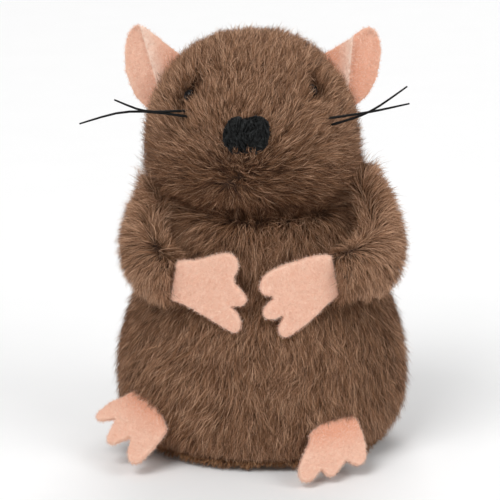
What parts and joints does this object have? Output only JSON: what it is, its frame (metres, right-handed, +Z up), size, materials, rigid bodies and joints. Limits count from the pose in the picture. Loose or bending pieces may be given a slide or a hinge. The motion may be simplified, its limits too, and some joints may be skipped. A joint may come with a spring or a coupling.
{
  "type": "plush mole cat toy",
  "caption": "Upright plush mole with a pear-shaped furry body, felt hands and feet, pink ears, a stitched nose and stiff whiskers; a soft toy for cats.",
  "frame": {"origin": "centre of the flat of the base panel, on the surface the toy stands on", "axes": "+Z up through the head, -Y the way the toy faces, +X to the toy's own left"},
  "size_m": [0.075, 0.0635, 0.099],
  "materials": {
    "fur": "matte",
    "base_plush": "matte",
    "felt": "matte",
    "thread": "satin",
    "bead": "gloss",
    "bristle": "satin",
    "stuffing": "matte",
    "cotton": "matte"
  },
  "bodies": {
    "torso": {"body_front_panel": "fur", "body_back_panel": "fur", "base_panel": "base_plush", "body_filling": "stuffing", "catnip_pouch": "cotton"},
    "neck": {"neck_stuffing": "stuffing"},
    "head": {"head_left_panel": "fur", "head_right_panel": "fur", "head_filling": "stuffing", "eye_left": "bead", "eye_right": "bead", "nose_patch": "thread", "whisker_left_lower": "bristle", "whisker_left_upper": "bristle", "whisker_right_lower": "bristle", "whisker_right_upper": "bristle"},
    "ear_left": {"ear_left": "felt"},
    "ear_right": {"ear_right": "felt"},
    "arm_left": {"arm_cover_left": "fur", "arm_filling_left": "stuffing"},
    "arm_right": {"arm_cover_right": "fur", "arm_filling_right": "stuffing"},
    "hand_left": {"hand_left": "felt"},
    "hand_right": {"hand_right": "felt"},
    "foot_left": {"foot_left": "felt"},
    "foot_right": {"foot_right": "felt"}
  },
  "joints": [
    {"name": "head_nod", "type": "hinge", "parent": "torso", "child": "neck", "pos_m": [-0.002, -0.0025, 0.059], "axis": [1, 0, 0], "range_deg": [-8, 8], "stiffness_Nm_per_rad": 0.05},
    {"name": "head_turn", "type": "hinge", "parent": "neck", "child": "head", "pos_m": [-0.002, -0.0025, 0.059], "axis": [0, 0, 1], "range_deg": [-20, 20], "stiffness_Nm_per_rad": 0.03},
    {"name": "ear_left_fold", "type": "hinge", "parent": "head", "child": "ear_left", "pos_m": [0.01745, -0.00118, 0.0855], "axis": [-0.4695, 0, 0.8829], "range_deg": [-30, 30], "stiffness_Nm_per_rad": 0.0005},
    {"name": "ear_right_fold", "type": "hinge", "parent": "head", "child": "ear_right", "pos_m": [-0.02225, -0.00117, 0.08514], "axis": [0.5736, 0, 0.8192], "range_deg": [-30, 30], "stiffness_Nm_per_rad": 0.0005},
    {"name": "arm_left_swing", "type": "hinge", "parent": "torso", "child": "arm_left", "pos_m": [0.02285, 0.00516, 0.0543], "axis": [0, 0, 1], "range_deg": [0, 60], "stiffness_Nm_per_rad": 0.004},
    {"name": "arm_right_swing", "type": "hinge", "parent": "torso", "child": "arm_right", "pos_m": [-0.02285, 0.00516, 0.054], "axis": [0, 0, -1], "range_deg": [0, 60], "stiffness_Nm_per_rad": 0.004},
    {"name": "hand_left_flap", "type": "hinge", "parent": "arm_left", "child": "hand_left", "pos_m": [0.01489, -0.02487, 0.04586], "axis": [-0.1841, -0.1187, 0.9757], "range_deg": [0, 70], "stiffness_Nm_per_rad": 0.0006},
    {"name": "hand_right_flap", "type": "hinge", "parent": "arm_right", "child": "hand_right", "pos_m": [-0.01851, -0.02378, 0.04449], "axis": [-0.1641, 0.1365, -0.977], "range_deg": [0, 70], "stiffness_Nm_per_rad": 0.0006},
    {"name": "foot_left_lift", "type": "hinge", "parent": "torso", "child": "foot_left", "pos_m": [0.01663, -0.0256, 0.0097], "axis": [-0.8366, -0.5433, -0.0698], "range_deg": [-10, 55], "stiffness_Nm_per_rad": 0.0005},
    {"name": "foot_right_lift", "type": "hinge", "parent": "torso", "child": "foot_right", "pos_m": [-0.02634, -0.01914, 0.0117], "axis": [-0.5558, 0.7649, 0.3256], "range_deg": [-10, 55], "stiffness_Nm_per_rad": 0.0005}
  ]
}
